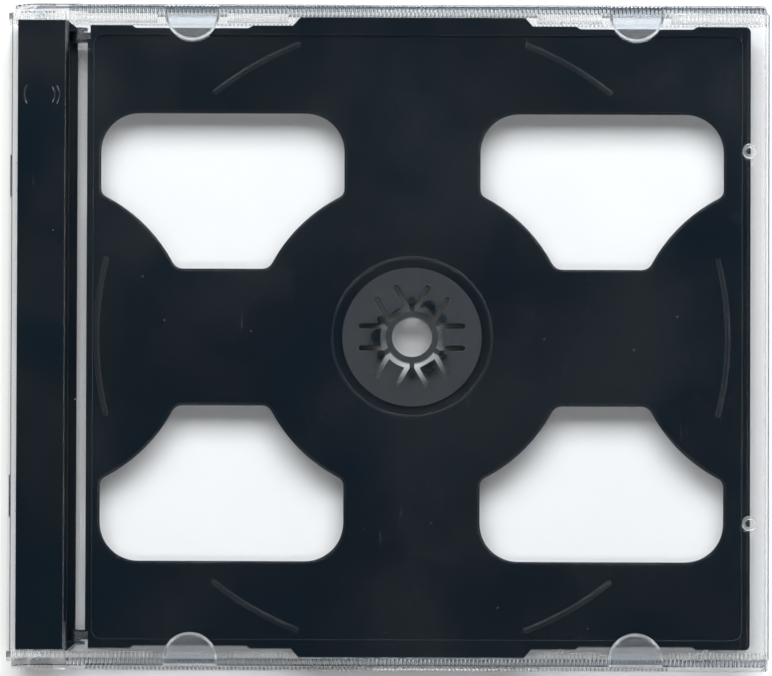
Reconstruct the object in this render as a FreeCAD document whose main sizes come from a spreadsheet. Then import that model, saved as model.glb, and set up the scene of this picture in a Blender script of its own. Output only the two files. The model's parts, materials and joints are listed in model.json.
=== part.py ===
"""Clear case for two discs: a hinged lid, a base, a fixed black strip and a black swing tray.

Millimetres. The case lies closed on its base: +X runs from the spine to the opening edge, +Y along
the spine and +Z up through the lid. The origin is the middle of the base's underside.
"""
import FreeCAD, Part
import functools
import math
import os
import re

import Sketcher

# Two places closer than this, in millimetres, are the same when edges are picked.
SAME_PLACE = 0.01

# Fingers round the hub. Every other one has its grip bead above, the rest below.
FINGERS = 6

# Flat sides of a hub stud, enough for one so small to look round.
STUD_SIDES = 12

# Driving dimensions: name and value, in millimetres, or in degrees where the name says so.
SIZES = {
    # The closed case, laid out round the disc it holds
    "disc_radius": 60.0,
    "spine_room": 15.4,
    "end_room": 6.6,
    "side_room": 2.0,
    "case_height": 10.4,
    # Base
    "floor_thickness": 1.2,
    "spine_inset": 0.6,
    "spine_wall": 0.85,
    "spine_drop": 0.4,
    "end_wall": 1.6,
    "side_wall": 1.2,
    "side_drop": 0.8,
    "sill_height": 2.4,
    "ear_drop": 0.4,
    "ear_length": 10.5,
    "ear_slope": 1.5,
    "base_corner": 0.8,
    "catch_radius": 0.6,
    "catch_height": 1.8,
    "catch_before_tab": 14.1,
    "catch_past_tab": 13.0,
    # Lid
    "lid_thickness": 1.2,
    "lid_wall": 1.4,
    "lid_strip_gap": 1.2,
    "lid_inset": 0.6,
    "lid_edge_bevel": 0.35,
    "lid_corner": 0.8,
    "wall_gap": 0.2,
    "lid_gap": 0.2,
    "ledge_gap": 0.4,
    # Lid hinge
    "arm_inset": 0.9,
    "arm_gap": 0.2,
    "arm_swing_gap": 0.3,
    "lid_pin_radius": 1.5,
    "lid_pin_gap": 0.05,
    "lid_pin_length": 1.3,
    "lid_pin_chamfer": 0.3,
    # Booklet tabs, stop and pegs inside the lid
    "tab_spacing": 83.0,
    "tab_shift": 0.3,
    "tab_radius": 5.1,
    "tab_thickness": 1.0,
    "tab_bevel": 0.5,
    "tab_room": 1.4,
    "booklet_gap": 1.6,
    "slot_width": 9.9,
    "stop_inset": 0.9,
    "stop_width": 1.1,
    "stop_drop": 2.0,
    "stop_end_gap": 8.4,
    "post_width": 2.4,
    "post_inset": 0.4,
    "peg_inset": 3.1,
    "peg_spacing": 69.8,
    "peg_radius": 1.3,
    "peg_bore": 0.75,
    "peg_drop": 1.8,
    # Grip ribs on the lid's two side walls
    "rib_pitch": 0.75,
    "rib_groove": 0.55,
    "rib_depth": 0.3,
    "rib_top_margin": 1.0,
    "rib_near_margin": 2.6,
    "rib_far_margin": 18.2,
    "arm_rib_start": 2.4,
    "arm_rib_run": 6.0,
    # Fixed hinge strip
    "strip_gap": 0.25,
    "strip_width": 9.5,
    "strip_drop": 0.8,
    "strip_plate": 1.2,
    "strip_wall": 1.0,
    "strip_end_gap": 0.2,
    "strip_bevel_run": 0.7,
    "strip_bevel_drop": 1.4,
    "strip_foot": 1.65,
    "strip_foot_height": 1.4,
    "cheek_width": 1.8,
    "cheek_cut_run": 1.5,
    "cheek_cut_drop": 1.2,
    # Two snaps on the spine that hold the strip
    "snap_spacing": 60.0,
    "snap_length": 5.4,
    "snap_height": 1.4,
    "snap_low": 4.4,
    "snap_reach": 0.8,
    "snap_gap": 0.2,
    "snap_bulge": 0.25,
    "snap_bulge_margin": 1.2,
    # Swing tray hinge
    "lug_radius": 1.7,
    "barrel_radius": 1.3,
    "barrel_room": 0.5,
    "barrel_end_gap": 0.3,
    "tray_pin_radius": 0.9,
    "tray_pin_gap": 0.05,
    "tray_pin_reach": 0.55,
    "lug_clearance": 0.5,
    "knuckle_length": 1.8,
    "slit_width": 1.8,
    # Swing tray
    "tray_plate": 1.2,
    "tray_rim": 0.5,
    "tray_rim_width": 1.2,
    "tray_end_rim": 1.5,
    "tray_end_gap": 1.9,
    "tray_side_gap": 0.8,
    "tray_corner": 1.0,
    "recess_corner": 2.0,
    "lift_length": 42.0,
    "lift_reach": 1.6,
    "lift_slant": 1.4,
    "lift_gap": 0.8,
    "notch_length": 21.0,
    "notch_depth": 0.5,
    "notch_slant": 0.8,
    # Four windows in the tray
    "window_inner": 12.7,
    "window_near": 12.8,
    "window_end_inset": 1.9,
    "window_side_inset": 18.0,
    "lobe_radius": 29.6,
    "window_corner": 7.2,
    "window_knee": 1.8,
    "window_toe": 2.2,
    "window_edge": 0.35,
    # Two-sided hub
    "platform_radius": 13.0,
    "hub_rise": 0.7,
    "hub_ring_radius": 14.9,
    "hub_ring_width": 0.5,
    "hub_ring_rise": 0.15,
    "hub_bore": 3.75,
    "collar_radius": 4.9,
    "finger_start": 5.9,
    "finger_end": 9.9,
    "finger_width": 3.2,
    "finger_slot": 0.95,
    "slot_bevel": 0.28,
    "web_width": 0.9,
    "stud_radius": 0.72,
    "stud_circle": 6.68,
    "stud_rise": 1.9,
    "stud_bevel": 0.35,
    "bead_width": 2.6,
    "bead_face": 1.1,
    "bead_trim": 0.9,
    "bead_neck": 7.15,
    "bead_bulge": 0.45,
    "bead_rise": 1.9,
    "bead_foot": 0.5,
    # Raised arcs that carry the rim of a disc
    "arc_inset": 1.1,
    "arc_width": 0.9,
    "arc_slope": 0.28,
    "arc_rise": 0.22,
    "arc_side_sweep_deg": 29.2,
    "arc_far_sweep_deg": 18.0,
    "arc_far_place_deg": 60.0,
}

doc = FreeCAD.newDocument("disc_case")
sheet = doc.addObject("Spreadsheet::Sheet", "sizes")
for row, (name, value) in enumerate(SIZES.items(), start=1):
    sheet.set(f"A{row}", name)
    sheet.set(f"B{row}", str(value))
    sheet.setAlias(f"B{row}", name)
doc.recompute()

# Places that more than one piece is fitted to, as formulas of the sizes above.
HALF_LENGTH = "(disc_radius + (spine_room + end_room) / 2)"
LEFT = f"(-{HALF_LENGTH})"
RIGHT = HALF_LENGTH
HALF = "(disc_radius + side_room)"
HUB_X = "((spine_room - end_room) / 2)"
LID_UNDER = "(case_height - lid_thickness)"
LID_RIGHT = f"({RIGHT} - lid_inset)"
LID_WALL_IN = f"({HALF} - lid_wall)"
LID_FOOT = "(floor_thickness + ledge_gap)"
SIDE_OUT = f"({LID_WALL_IN} - wall_gap)"
SIDE_IN = f"({SIDE_OUT} - side_wall)"
SIDE_TOP = f"({LID_UNDER} - side_drop)"
ARM_RADIUS = "(case_height / 2 - arm_gap)"
HINGE_X = f"({LEFT} + arm_inset + {ARM_RADIUS})"
HINGE_Z = "(case_height / 2)"
TAB_LEFT = f"({HUB_X} + tab_shift - tab_spacing / 2)"
TAB_RIGHT = f"({HUB_X} + tab_shift + tab_spacing / 2)"
TAB_TOP = f"({LID_UNDER} - booklet_gap)"
SPINE_OUT = f"({LEFT} + spine_inset)"
SPINE_IN = f"({SPINE_OUT} + spine_wall)"
STRIP_LEFT = f"({SPINE_IN} + strip_gap)"
STRIP_RIGHT = f"({STRIP_LEFT} + strip_width)"
STRIP_FOOT = f"({STRIP_RIGHT} + strip_foot)"
STRIP_TOP = "(case_height - strip_drop)"
STRIP_END = f"({SIDE_IN} - strip_end_gap)"
CHEEK_IN = f"({STRIP_END} - cheek_width)"
LID_LEFT = f"({STRIP_RIGHT} + lid_strip_gap)"
TRAY_HINGE_X = f"({STRIP_RIGHT} + barrel_radius + barrel_room)"
TRAY_Z = f"((floor_thickness + {LID_UNDER}) / 2)"
TRAY_SIDE = f"({SIDE_IN} - tray_side_gap)"
WINDOW_OUTER = "(disc_radius - window_end_inset)"
WINDOW_FAR = "(disc_radius - window_side_inset)"


def formula(text):
    """The text with every size name pointed at its cell of the sheet."""
    return re.sub(r"[a-z_]+", lambda word: f"sizes.{word[0]}" if word[0] in SIZES else word[0], str(text))


@functools.cache
def number(text):
    """What a formula is worth in this build, which never changes a size once the sheet is filled."""
    return float(sheet.evalExpression(formula(text)))


def bind(item, prop, text):
    item.setExpression(prop, formula(text))


def new_body(name):
    body = doc.addObject("PartDesign::Body", name)
    body.Label = name
    return body


def origin(body, role):
    """One of the body's own origin planes or axes."""
    return next(item for item in body.Origin.OriginFeatures if item.Role == role)


def new_sketch(body, name, role, offset="0"):
    """A sketch on an origin plane, moved along the plane's normal by the offset."""
    sketch = body.newObject("Sketcher::SketchObject", name)
    sketch.AttachmentSupport = [(origin(body, role), "")]
    sketch.MapMode = "FlatFace"
    bind(sketch, "AttachmentOffset.Base.z", offset)
    return sketch


def fix_point(sketch, geometry, point, place):
    """Hold one point of a sketch at a place given by two formulas."""
    for kind, text in zip(("DistanceX", "DistanceY"), place):
        held = sketch.addConstraint(Sketcher.Constraint(kind, -1, 1, geometry, point, number(text)))
        bind(sketch, f"Constraints[{held}]", text)


def add_circle(sketch, x, y, radius):
    middle = FreeCAD.Vector(number(x), number(y), 0)
    ring = sketch.addGeometry(Part.Circle(middle, FreeCAD.Vector(0, 0, 1), number(radius)), False)
    fix_point(sketch, ring, 3, (x, y))
    size = sketch.addConstraint(Sketcher.Constraint("Radius", ring, number(radius)))
    bind(sketch, f"Constraints[{size}]", radius)


def add_outline(sketch, corners):
    """A closed outline through the corners. A corner is (x, y), or (x, y, centre x, centre y, turn)
    where an arc about that centre, turning "left" or "right", leads to the next corner."""
    places = [(number(corner[0]), number(corner[1])) for corner in corners]
    edges = []
    for here, corner in enumerate(corners):
        there = (here + 1) % len(corners)
        start = FreeCAD.Vector(*places[here], 0)
        end = FreeCAD.Vector(*places[there], 0)
        if len(corner) == 2:
            edges.append((sketch.addGeometry(Part.LineSegment(start, end), False), 1, 2))
            continue
        middle = FreeCAD.Vector(number(corner[2]), number(corner[3]), 0)
        circle = Part.Circle(middle, FreeCAD.Vector(0, 0, 1), (start - middle).Length)
        angles = [math.atan2(point.y - middle.y, point.x - middle.x) for point in (start, end)]
        first, last = angles if corner[4] == "left" else angles[::-1]
        arc = sketch.addGeometry(Part.ArcOfCircle(circle, first, last), False)
        edges.append((arc, 1, 2) if corner[4] == "left" else (arc, 2, 1))
    for here, corner in enumerate(corners):
        edge, first, last = edges[here]
        before, _, before_last = edges[here - 1]
        sketch.addConstraint(Sketcher.Constraint("Coincident", before, before_last, edge, first))
        fix_point(sketch, edge, first, corner[:2])
        if len(corner) == 2:
            continue
        # Two held ends leave an arc one freedom, taken by its centre along the chord's bisector.
        there = (here + 1) % len(corners)
        chord_x = abs(places[there][0] - places[here][0])
        chord_y = abs(places[there][1] - places[here][1])
        kind, text = ("DistanceY", corner[3]) if chord_x > chord_y else ("DistanceX", corner[2])
        held = sketch.addConstraint(Sketcher.Constraint(kind, -1, 1, edge, 3, number(text)))
        bind(sketch, f"Constraints[{held}]", text)


def add_rectangle(sketch, left, right, low, high):
    add_outline(sketch, [(left, low), (right, low), (right, high), (left, high)])


def finish_feature(body, feature):
    body.Tip = feature
    doc.recompute()
    return feature


def add_pad(body, sketch, length, both_ways=False, backwards=False):
    pad = body.newObject("PartDesign::Pad", sketch.Name + "_pad")
    pad.Profile = sketch
    bind(pad, "Length", length)
    pad.Midplane = both_ways
    pad.Reversed = backwards
    return finish_feature(body, pad)


def cut_pocket(body, sketch, length, both_ways=True, backwards=False):
    pocket = body.newObject("PartDesign::Pocket", sketch.Name + "_pocket")
    pocket.Profile = sketch
    bind(pocket, "Length", length)
    pocket.Midplane = both_ways
    pocket.Reversed = backwards
    before = body.Shape.Volume
    finish_feature(body, pocket)
    if not pocket.Shape.Volume < before:
        raise RuntimeError(f"{pocket.Name} cuts nothing")
    return pocket


def mirror(body, name, features, *roles):
    """Repeat features across one or more of the body's origin planes."""
    transforms = []
    if len(roles) == 1:
        whole = body.newObject("PartDesign::Mirrored", name)
        whole.MirrorPlane = (origin(body, roles[0]), [""])
    else:
        whole = body.newObject("PartDesign::MultiTransform", name)
        for role in roles:
            part = body.newObject("PartDesign::Mirrored", f"{name}_{role}")
            part.MirrorPlane = (origin(body, role), [""])
            transforms.append(part)
    whole.Originals = features
    if transforms:
        whole.Transformations = transforms
    return finish_feature(body, whole)


def polar(body, name, features, count):
    """Repeat features evenly round the body's own Z axis."""
    ring = body.newObject("PartDesign::PolarPattern", name)
    ring.Axis = (origin(body, "Z_Axis"), [""])
    ring.Angle = 360
    ring.Occurrences = count
    ring.Originals = features
    return finish_feature(body, ring)


def row_both_sides(body, name, features, pitch, count):
    """Repeat features in a row along X, and the row again across the XZ plane."""
    whole = body.newObject("PartDesign::MultiTransform", name)
    line = body.newObject("PartDesign::LinearPattern", name + "_line")
    line.Direction = (origin(body, "X_Axis"), [""])
    line.Mode = "Spacing"
    bind(line, "Offset", pitch)
    bind(line, "Occurrences", count)
    flip = body.newObject("PartDesign::Mirrored", name + "_flip")
    flip.MirrorPlane = (origin(body, "XZ_Plane"), [""])
    whole.Originals = features
    whole.Transformations = [line, flip]
    whole.Refine = False
    return finish_feature(body, whole)


def edges_where(feature, test):
    """Names of the feature's edges that pass a test of the edge and its middle point."""
    chosen = []
    for place, edge in enumerate(feature.Shape.Edges, start=1):
        middle = edge.valueAt((edge.FirstParameter + edge.LastParameter) / 2)
        if test(edge, middle):
            chosen.append(f"Edge{place}")
    return chosen


def near(value, text):
    return abs(value - number(text)) < SAME_PLACE


def within(value, low, high):
    return number(low) - SAME_PLACE < value < number(high) + SAME_PLACE


def is_upright(edge):
    return edge.Curve.TypeId == "Part::GeomLine" and abs(edge.tangentAt(edge.FirstParameter).z) > 0.999


def soften(body, name, test, size, kind="Fillet"):
    """Fillet or chamfer the edges of the body's last feature that pass a test."""
    base = body.Tip
    names = edges_where(base, test)
    if not names:
        raise RuntimeError(f"{name} finds no edges")
    feature = body.newObject(f"PartDesign::{kind}", name)
    feature.Base = (base, names)
    bind(feature, "Radius" if kind == "Fillet" else "Size", size)
    return finish_feature(body, feature)


def add_snap(sketch, side, margin):
    """The outline of one snap on the spine, a margin larger all round."""
    middle = f"{side}snap_spacing / 2"
    add_rectangle(sketch, f"{middle} - snap_length / 2 - {margin}", f"{middle} + snap_length / 2 + {margin}",
                  f"snap_low - {margin}", f"snap_low + snap_height + {margin}")


def build_base():
    """Clear base: a floor, spine, opening wall and two gapped side walls that carry the lid's hinge."""
    body = new_body("rear_base")
    notch = f"({HINGE_X} + {ARM_RADIUS} + arm_swing_gap)"

    floor = new_sketch(body, "base_floor", "XY_Plane")
    half_floor = [(LEFT, SIDE_OUT), (notch, SIDE_OUT), (notch, HALF), (RIGHT, HALF)]
    add_outline(floor, half_floor + [(x, f"(-{y})") for x, y in half_floor[::-1]])
    add_pad(body, floor, "floor_thickness")
    soften(body, "base_corners", lambda edge, at: is_upright(edge) and near(at.x, RIGHT), "base_corner")

    walls = new_sketch(body, "base_end_walls", "XZ_Plane")
    add_rectangle(walls, SPINE_OUT, SPINE_IN, "0", "case_height - spine_drop")
    add_rectangle(walls, f"{RIGHT} - end_wall", RIGHT, "0", f"{LID_UNDER} - lid_gap")
    add_pad(body, walls, f"2 * {SIDE_OUT}", both_ways=True)

    # One side wall in elevation: the hinge ear, then the wall with three gaps down to a sill.
    tab_room = "(tab_radius + tab_room)"
    lift_room = "(lift_length / 2 + lift_slant + lift_gap)"
    gaps = [(TAB_RIGHT, tab_room), (HUB_X, lift_room), (TAB_LEFT, tab_room)]
    ear_top = f"{LID_UNDER} - ear_drop"
    profile = [(LEFT, "0"), (RIGHT, "0"), (RIGHT, SIDE_TOP)]
    for middle, room in gaps:
        profile += [(f"{middle} + {room}", SIDE_TOP), (f"{middle} + {room}", "sill_height")]
        profile += [(f"{middle} - {room}", "sill_height"), (f"{middle} - {room}", SIDE_TOP)]
    profile += [(f"{LEFT} + ear_length + ear_slope", SIDE_TOP), (f"{LEFT} + ear_length", ear_top)]
    profile += [(LEFT, ear_top)]
    side = new_sketch(body, "base_side", "XZ_Plane", f"-{SIDE_OUT}")
    add_outline(side, profile)
    side_pad = add_pad(body, side, "side_wall")

    bore = new_sketch(body, "base_hinge_bore", "XZ_Plane", f"-{SIDE_OUT}")
    add_circle(bore, HINGE_X, HINGE_Z, "lid_pin_radius + lid_pin_gap")
    bore_cut = cut_pocket(body, bore, "3 * side_wall")

    catch = new_sketch(body, "base_catch", "XY_Plane", SIDE_TOP)
    for place in (f"({TAB_RIGHT} - catch_before_tab)", f"({TAB_RIGHT} + catch_past_tab)"):
        left, right = f"{place} - catch_radius", f"{place} + catch_radius"
        root = f"{SIDE_IN} + side_wall / 2"
        add_outline(catch, [(left, SIDE_IN, place, SIDE_IN, "left"), (right, SIDE_IN), (right, root),
                            (left, root)])
    catch_pad = add_pad(body, catch, "catch_height", backwards=True)
    mirror(body, "base_other_side", [side_pad, bore_cut, catch_pad], "XZ_Plane")

    # Snaps that hold the strip, and the bulge that each leaves on the outside of the spine.
    nubs = new_sketch(body, "base_snaps", "YZ_Plane", SPINE_IN)
    bulges = new_sketch(body, "base_snap_bulges", "YZ_Plane", SPINE_OUT)
    for side in ("-", "+"):
        add_snap(nubs, side, "0")
        add_snap(bulges, side, "snap_bulge_margin")
    add_pad(body, nubs, "snap_reach")
    add_pad(body, bulges, "snap_bulge", backwards=True)
    return body


def build_lid():
    """Clear lid: a panel with two ribbed side walls that run on as hinge arms with inward pins."""
    body = new_body("front_lid")

    section = new_sketch(body, "lid_section", "YZ_Plane", LID_LEFT)
    half_section = [(HALF, "case_height"), (HALF, LID_FOOT), (LID_WALL_IN, LID_FOOT),
                    (LID_WALL_IN, LID_UNDER)]
    add_outline(section, half_section + [(f"(-{y})", z) for y, z in half_section[::-1]])
    add_pad(body, section, f"{LID_RIGHT} - {LID_LEFT}")
    soften(body, "lid_corners", lambda edge, at: is_upright(edge) and near(at.x, LID_RIGHT)
           and near(abs(at.y), HALF), "lid_corner")
    soften(body, "lid_top_edges", lambda edge, at: near(at.z, "case_height") and not near(at.x, LID_LEFT),
           "lid_edge_bevel", "Chamfer")

    # The arm runs past the panel and ends in a half round about the hinge.
    arm = new_sketch(body, "lid_arm", "XZ_Plane", f"-{HALF}")
    inside = f"{LID_LEFT} + lid_wall"
    top, foot = f"({HINGE_Z} + {ARM_RADIUS})", f"({HINGE_Z} - {ARM_RADIUS})"
    add_outline(arm, [(inside, top), (HINGE_X, top, HINGE_X, HINGE_Z, "left"), (HINGE_X, foot),
                      (f"{HINGE_X} + {ARM_RADIUS}", LID_FOOT), (inside, LID_FOOT)])
    arm_pad = add_pad(body, arm, "lid_wall")

    pin = new_sketch(body, "lid_pin", "XZ_Plane", f"-{LID_WALL_IN}")
    add_circle(pin, HINGE_X, HINGE_Z, "lid_pin_radius")
    pin_pad = add_pad(body, pin, "lid_pin_length")

    # Half-moon tabs that hold a booklet against the panel.
    tabs = new_sketch(body, "lid_tabs", "XY_Plane", f"{TAB_TOP} - tab_thickness")
    for middle in (TAB_LEFT, TAB_RIGHT):
        left, right = f"{middle} - tab_radius", f"{middle} + tab_radius"
        root = f"{LID_WALL_IN} + lid_wall / 2"
        add_outline(tabs, [(left, LID_WALL_IN, middle, LID_WALL_IN, "left"), (right, LID_WALL_IN),
                           (right, root), (left, root)])
    tab_pad = add_pad(body, tabs, "tab_thickness")

    # Thicker posts at both ends of the booklet stop.
    posts = new_sketch(body, "lid_posts", "XY_Plane", LID_UNDER)
    post_left, stop_end = f"({LID_LEFT} + post_inset)", f"({HALF} - stop_end_gap)"
    add_rectangle(posts, post_left, f"{post_left} + post_width", stop_end, f"{SIDE_IN} - wall_gap")
    post_pad = add_pad(body, posts, "stop_drop", backwards=True)
    mirror(body, "lid_other_side", [arm_pad, pin_pad, tab_pad, post_pad], "XZ_Plane")

    soften(body, "lid_pin_tips", lambda edge, at: near(abs(at.y), f"{LID_WALL_IN} - lid_pin_length")
           and edge.Curve.TypeId == "Part::GeomCircle", "lid_pin_chamfer", "Chamfer")
    soften(body, "lid_tab_bevels", lambda edge, at: near(at.z, f"{TAB_TOP} - tab_thickness")
           and edge.Curve.TypeId == "Part::GeomCircle" and near(edge.Curve.Radius, "tab_radius"),
           "tab_bevel", "Chamfer")

    stop = new_sketch(body, "lid_stop", "XY_Plane", LID_UNDER)
    stop_left = f"({LID_LEFT} + stop_inset)"
    add_rectangle(stop, stop_left, f"{stop_left} + stop_width", f"-{stop_end}", stop_end)
    add_pad(body, stop, "stop_drop", backwards=True)

    pegs = new_sketch(body, "lid_pegs", "XY_Plane", LID_UNDER)
    for side in ("-", "+"):
        for radius in ("peg_radius", "peg_bore"):
            add_circle(pegs, f"{LID_RIGHT} - peg_inset", f"{side}peg_spacing / 2", radius)
    add_pad(body, pegs, "peg_drop", backwards=True)

    # Slots through the side walls between each tab and the panel.
    slots = new_sketch(body, "lid_slots", "XZ_Plane")
    for middle in (TAB_LEFT, TAB_RIGHT):
        add_rectangle(slots, f"{middle} - slot_width / 2", f"{middle} + slot_width / 2", TAB_TOP, LID_UNDER)
    cut_pocket(body, slots, f"2 * {HALF} + lid_wall")

    # Upright grip grooves along the outside of both walls and arms.
    rib_top = "(case_height - rib_top_margin)"
    grip_start = f"({LID_LEFT} + rib_near_margin)"
    for name, place, run in (("lid_arm_grip", f"({LEFT} + arm_rib_start)", "arm_rib_run"),
                             ("lid_grip", grip_start, f"({LID_RIGHT} - rib_far_margin - {grip_start})")):
        groove = new_sketch(body, name, "XY_Plane", rib_top)
        left, right = f"{place} - rib_groove / 2", f"{place} + rib_groove / 2"
        outside = f"{HALF} + rib_depth"
        add_outline(groove, [(left, outside), (left, HALF), (place, f"{HALF} - rib_depth"), (right, HALF),
                             (right, outside)])
        cut = cut_pocket(body, groove, rib_top, both_ways=False)
        row_both_sides(body, name + "_row", [cut], "rib_pitch", f"floor({run} / rib_pitch) + 1")
    return body


def build_strip():
    """Black strip beside the spine: an inverted channel with end cheeks that carry the tray."""
    body = new_body("hinge_strip")
    shoulder = [(STRIP_RIGHT, f"{STRIP_TOP} - strip_bevel_drop"),
                (f"{STRIP_RIGHT} - strip_bevel_run", STRIP_TOP), (STRIP_LEFT, STRIP_TOP)]

    section = new_sketch(body, "strip_section", "XZ_Plane")
    inner_left, inner_right = f"{STRIP_LEFT} + strip_wall", f"{STRIP_RIGHT} - strip_wall"
    ceiling, foot_top = f"{STRIP_TOP} - strip_plate", "floor_thickness + strip_foot_height"
    add_outline(section, [(STRIP_LEFT, "floor_thickness"), (inner_left, "floor_thickness"),
                          (inner_left, ceiling), (inner_right, ceiling), (inner_right, "floor_thickness"),
                          (STRIP_FOOT, "floor_thickness"), (STRIP_FOOT, foot_top), (STRIP_RIGHT, foot_top)]
                + shoulder)
    add_pad(body, section, f"2 * {STRIP_END}", both_ways=True)

    # A cheek closes each end and reaches out as a round lug for the tray's pin.
    cheek = new_sketch(body, "strip_cheek", "XZ_Plane", f"-{STRIP_END}")
    low, high = f"({TRAY_Z} - lug_radius)", f"({TRAY_Z} + lug_radius)"
    add_outline(cheek, [(STRIP_LEFT, "floor_thickness"), (STRIP_RIGHT, "floor_thickness"), (STRIP_RIGHT, low),
                        (TRAY_HINGE_X, low, TRAY_HINGE_X, TRAY_Z, "left"), (TRAY_HINGE_X, high),
                        (STRIP_RIGHT, high)] + shoulder)
    cheek_pad = add_pad(body, cheek, "cheek_width")

    slant = new_sketch(body, "strip_cheek_slant", "XY_Plane")
    cut_end = f"{TRAY_HINGE_X} + 2 * lug_radius"
    cut_low, outside = f"{STRIP_END} - cheek_cut_drop", f"{STRIP_END} + cheek_width"
    add_outline(slant, [(STRIP_RIGHT, STRIP_END), (f"{STRIP_RIGHT} + cheek_cut_run", cut_low),
                        (cut_end, cut_low), (cut_end, outside), (STRIP_RIGHT, outside)])
    slant_cut = cut_pocket(body, slant, f"3 * {STRIP_TOP}")

    bore = new_sketch(body, "strip_lug_bore", "XZ_Plane", f"-{STRIP_END}")
    add_circle(bore, TRAY_HINGE_X, TRAY_Z, "tray_pin_radius + tray_pin_gap")
    bore_cut = cut_pocket(body, bore, "3 * cheek_width")
    mirror(body, "strip_other_end", [cheek_pad, slant_cut, bore_cut], "XZ_Plane")

    pockets = new_sketch(body, "strip_snap_pockets", "YZ_Plane", STRIP_LEFT)
    for side in ("-", "+"):
        add_snap(pockets, side, "snap_gap")
    cut_pocket(body, pockets, "2 * (snap_reach - strip_gap + snap_gap)")
    return body


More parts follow.
